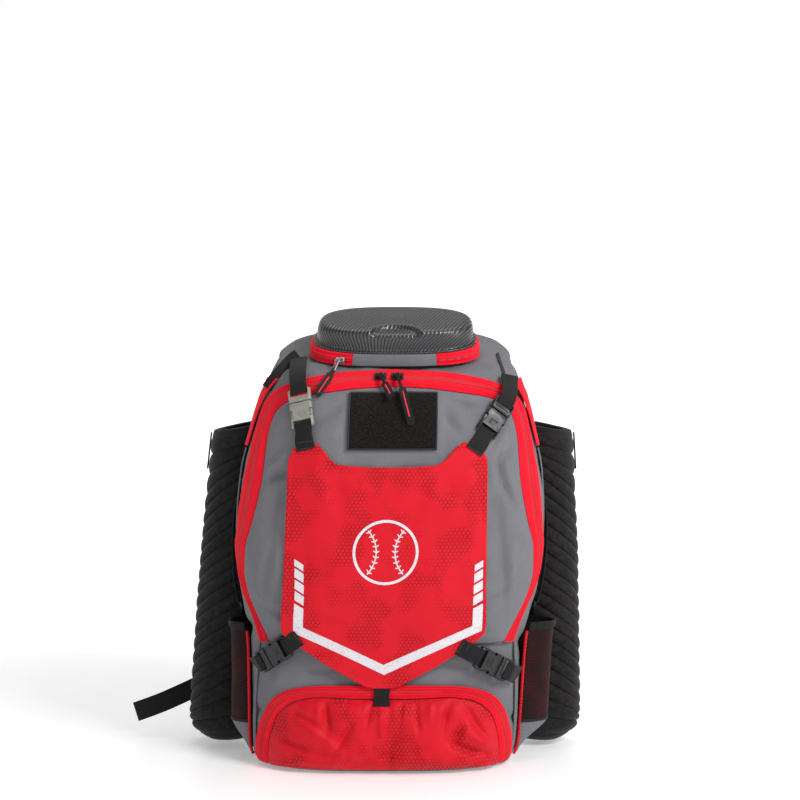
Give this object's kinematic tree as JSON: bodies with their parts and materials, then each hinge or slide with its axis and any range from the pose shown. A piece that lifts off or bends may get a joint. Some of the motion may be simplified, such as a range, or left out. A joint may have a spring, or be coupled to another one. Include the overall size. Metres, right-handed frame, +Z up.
{
  "type": "baseball bat backpack",
  "caption": "Sports backpack with a zipped front panel under a strapped cover sheet, a moulded top case, a shoe pocket, mesh side pockets and open ribbed bat sleeves.",
  "frame": {"origin": "centre of the flat base that the bag stands on", "axes": "+X to the right as seen from the front, +Y from the front panel towards the wearer's back, +Z up"},
  "size_m": [0.5623, 0.2828, 0.5435],
  "materials": {
    "grey_cloth": "coarse woven polyester, matt",
    "red_cloth": "ripstop polyester with a honeycomb check, slightly glossy",
    "red_zip_tape": "woven zip tape with a nylon coil",
    "hook_pile": "looped pile",
    "black_webbing": "ribbed woven webbing",
    "pull_cord": "woven pull tab with a red line",
    "grey_buckle": "moulded nylon, satin",
    "black_buckle": "moulded nylon, satin",
    "carbon_shell": "moulded shell with a fine twill pattern",
    "black_foam": "moulded ribbed foam, matt",
    "black_mesh": "open knitted mesh",
    "padded_mesh": "padded spacer mesh",
    "dark_metal": "black plated",
    "silver_metal": "satin nickel"
  },
  "bodies": {
    "root": {"main_shell": "grey_cloth", "front_panel": "grey_cloth", "case_hinge": "grey_cloth", "pocket_base_left": "grey_cloth", "pocket_base_right": "grey_cloth", "shoe_pocket": "red_cloth", "cover_sheet": "red_cloth", "side_piping_left": "red_cloth", "side_piping_right": "red_cloth", "main_zip_tape": "red_zip_tape", "shoe_zip_tape": "red_zip_tape", "case_zip_band": "red_zip_tape", "side_gusset_left": "red_zip_tape", "side_gusset_right": "red_zip_tape", "patch_panel": "hook_pile", "tip_loop": "black_webbing", "strap_upper_left": "black_webbing", "strap_upper_left_end": "black_webbing", "strap_upper_right": "black_webbing", "strap_upper_right_end": "black_webbing", "strap_lower_left": "black_webbing", "strap_lower_left_end": "black_webbing", "strap_lower_right": "black_webbing", "strap_lower_right_end": "black_webbing", "loop_strip_left": "black_webbing", "loop_strip_right": "black_webbing", "lower_webbing_left": "black_webbing", "lower_webbing_right": "black_webbing", "strap_tail_left": "black_webbing", "strap_tail_right": "black_webbing", "grab_handle": "black_webbing", "zip_pull_left": "pull_cord", "zip_pull_right": "pull_cord", "case_pull": "pull_cord", "sleeve_pull_left": "pull_cord", "sleeve_pull_right": "pull_cord", "buckle_upper_left_socket": "grey_buckle", "buckle_upper_left_plug": "grey_buckle", "buckle_upper_right_socket": "black_buckle", "buckle_upper_right_plug": "black_buckle", "buckle_lower_left_socket": "black_buckle", "buckle_lower_left_plug": "black_buckle", "buckle_lower_right_socket": "black_buckle", "buckle_lower_right_plug": "black_buckle", "adjuster_left": "black_buckle", "adjuster_right": "black_buckle", "case_lid": "carbon_shell", "bat_sleeve_left": "black_foam", "bat_sleeve_right": "black_foam", "side_pocket_left": "black_mesh", "side_pocket_right": "black_mesh", "back_pad": "padded_mesh", "shoulder_strap_left": "padded_mesh", "shoulder_strap_right": "padded_mesh", "side_ring_left": "dark_metal", "side_ring_right": "dark_metal", "zip_slider_left": "dark_metal", "zip_slider_right": "dark_metal", "case_slider": "silver_metal"}
  },
  "joints": []
}
